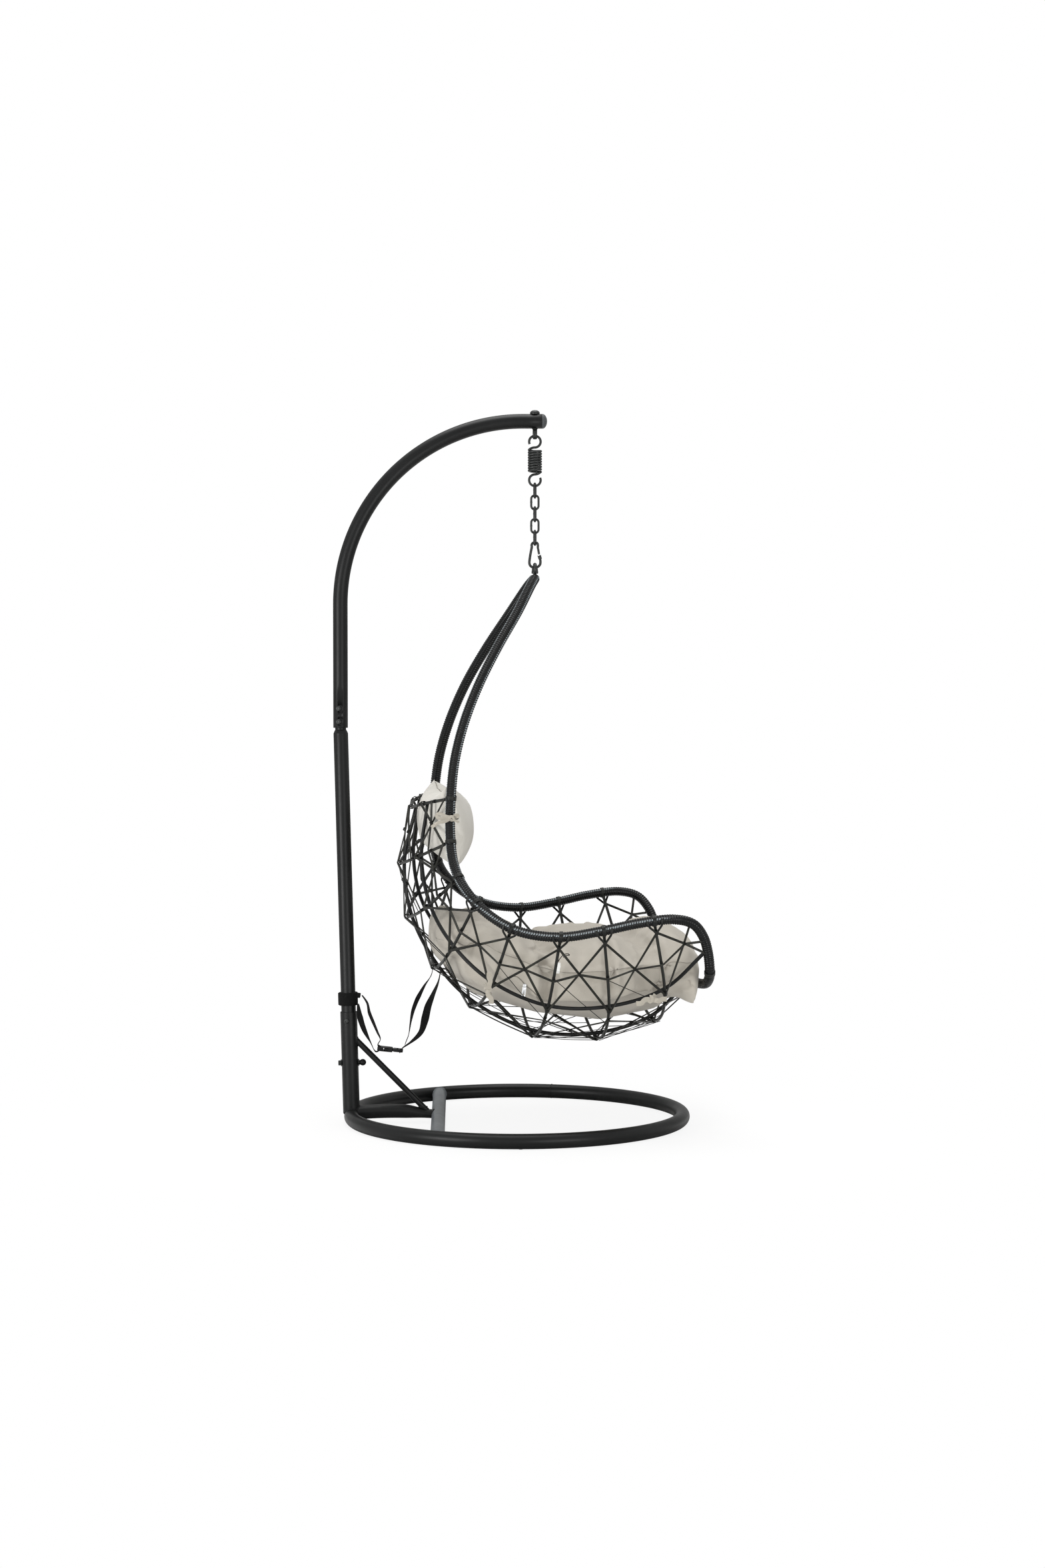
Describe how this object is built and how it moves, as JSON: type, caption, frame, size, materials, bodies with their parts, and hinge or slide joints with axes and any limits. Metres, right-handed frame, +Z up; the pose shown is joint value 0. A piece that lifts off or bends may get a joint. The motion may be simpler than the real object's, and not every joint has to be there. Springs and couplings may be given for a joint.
{
  "type": "hanging egg chair",
  "caption": "Hanging egg chair: a wicker basket seat with cushion and head pillow, hung by spring, chain and carabiner from a cantilevered tube stand on a floor ring.",
  "frame": {"origin": "on the floor, under the centreline of the pole's foot, where the pole stands on the base ring", "axes": "+X from the pole towards the chair, +Y to the sitter's left, +Z up"},
  "size_m": [1.0131, 1.0418, 1.9528],
  "materials": {
    "coated_steel": "satin charcoal powder coat",
    "dark_zinc": "dark zinc plating",
    "black_plastic": "fine moulded grain",
    "wicker_wrap": "tube closely wrapped and braided with flat plastic wicker",
    "wicker_strand": "flat plastic wicker strand",
    "cushion_fabric": "woven polyester cover",
    "webbing": "woven strap"
  },
  "bodies": {
    "stand": {"base_ring": "coated_steel", "cross_bar": "coated_steel", "spine_tube": "coated_steel", "brace_tube": "coated_steel", "pole_socket": "coated_steel", "mid_pole": "coated_steel", "arm_tube": "coated_steel", "arm_end_plug": "black_plastic", "arm_screw_1": "dark_zinc", "arm_screw_2": "dark_zinc", "socket_screw": "dark_zinc", "clamp_bolt": "dark_zinc", "clamp_washer_rear": "dark_zinc", "clamp_washer_front": "dark_zinc", "clamp_knob": "black_plastic", "eye_bolt": "dark_zinc", "dome_nut": "dark_zinc", "strap_collar": "webbing", "pole_strap": "webbing", "buckle_female": "black_plastic"},
    "spring": {"hanger_spring": "dark_zinc"},
    "link_1": {"chain_link_1": "dark_zinc"},
    "link_2": {"chain_link_2": "dark_zinc"},
    "link_3": {"chain_link_3": "dark_zinc"},
    "link_4": {"chain_link_4": "dark_zinc"},
    "link_5": {"chain_link_5": "dark_zinc"},
    "carabiner": {"carabiner_body": "dark_zinc", "carabiner_pin": "dark_zinc"},
    "gate": {"carabiner_gate": "dark_zinc"},
    "basket": {"basket_eye": "dark_zinc", "side_frame_left": "wicker_wrap", "side_frame_right": "wicker_wrap", "front_bar": "wicker_wrap", "rib_1": "coated_steel", "rib_2": "coated_steel", "rib_3": "coated_steel", "rib_4": "coated_steel", "rib_5": "coated_steel", "rib_6": "coated_steel", "rib_7": "coated_steel", "rib_8": "coated_steel", "keel_rod": "coated_steel", "bilge_rod_left": "coated_steel", "bilge_rod_right": "coated_steel", "side_net_left": "wicker_strand", "side_net_right": "wicker_strand", "bottom_net": "wicker_strand", "seat_cushion": "cushion_fabric", "head_pillow": "cushion_fabric", "buckle_male": "black_plastic", "basket_strap": "webbing"}
  },
  "joints": [
    {"name": "fore_aft_swing", "type": "hinge", "parent": "stand", "child": "spring", "pos_m": [0.504, 0, 1.8755], "axis": [0, 1, 0], "range_deg": [-10, 3.5], "deforming": ["basket_strap", "buckle_male", "pole_strap", "buckle_female"]},
    {"name": "spring_stretch", "type": "slide", "parent": "spring", "child": "link_1", "axis": [0, 0, -1], "range_m": [0, 0.03], "stiffness_N_per_m": 30000, "springref_m": -0.016, "deforming": ["hanger_spring"]},
    {"name": "link_2_tilt", "type": "hinge", "parent": "link_1", "child": "link_2", "pos_m": [0.504, 0, 1.72038], "axis": [1, 0, 0], "range_deg": [-7, 7]},
    {"name": "link_3_tilt", "type": "hinge", "parent": "link_2", "child": "link_3", "pos_m": [0.504, 0, 1.68818], "axis": [0, -1, 0], "range_deg": [-4, 8]},
    {"name": "link_4_tilt", "type": "hinge", "parent": "link_3", "child": "link_4", "pos_m": [0.504, 0, 1.65598], "axis": [1, 0, 0], "range_deg": [-7, 7]},
    {"name": "link_5_tilt", "type": "hinge", "parent": "link_4", "child": "link_5", "pos_m": [0.504, 0, 1.62378], "axis": [0, 1, 0], "range_deg": [-6, 3]},
    {"name": "basket_turn", "type": "hinge", "parent": "link_5", "child": "carabiner", "pos_m": [0.504, 0, 1.592], "axis": [0, 0, 1], "range_deg": [-18, 18]},
    {"name": "basket_rock", "type": "hinge", "parent": "carabiner", "child": "basket", "pos_m": [0.504, 0, 1.53178], "axis": [0.0819, -0.9966, 0], "range_deg": [-3, 5]},
    {"name": "gate_open", "type": "hinge", "parent": "carabiner", "child": "gate", "pos_m": [0.5122, 0, 1.57888], "axis": [0, 1, 0], "range_deg": [0, 25], "stiffness_Nm_per_rad": 0.02, "springref_deg": -20.05}
  ]
}
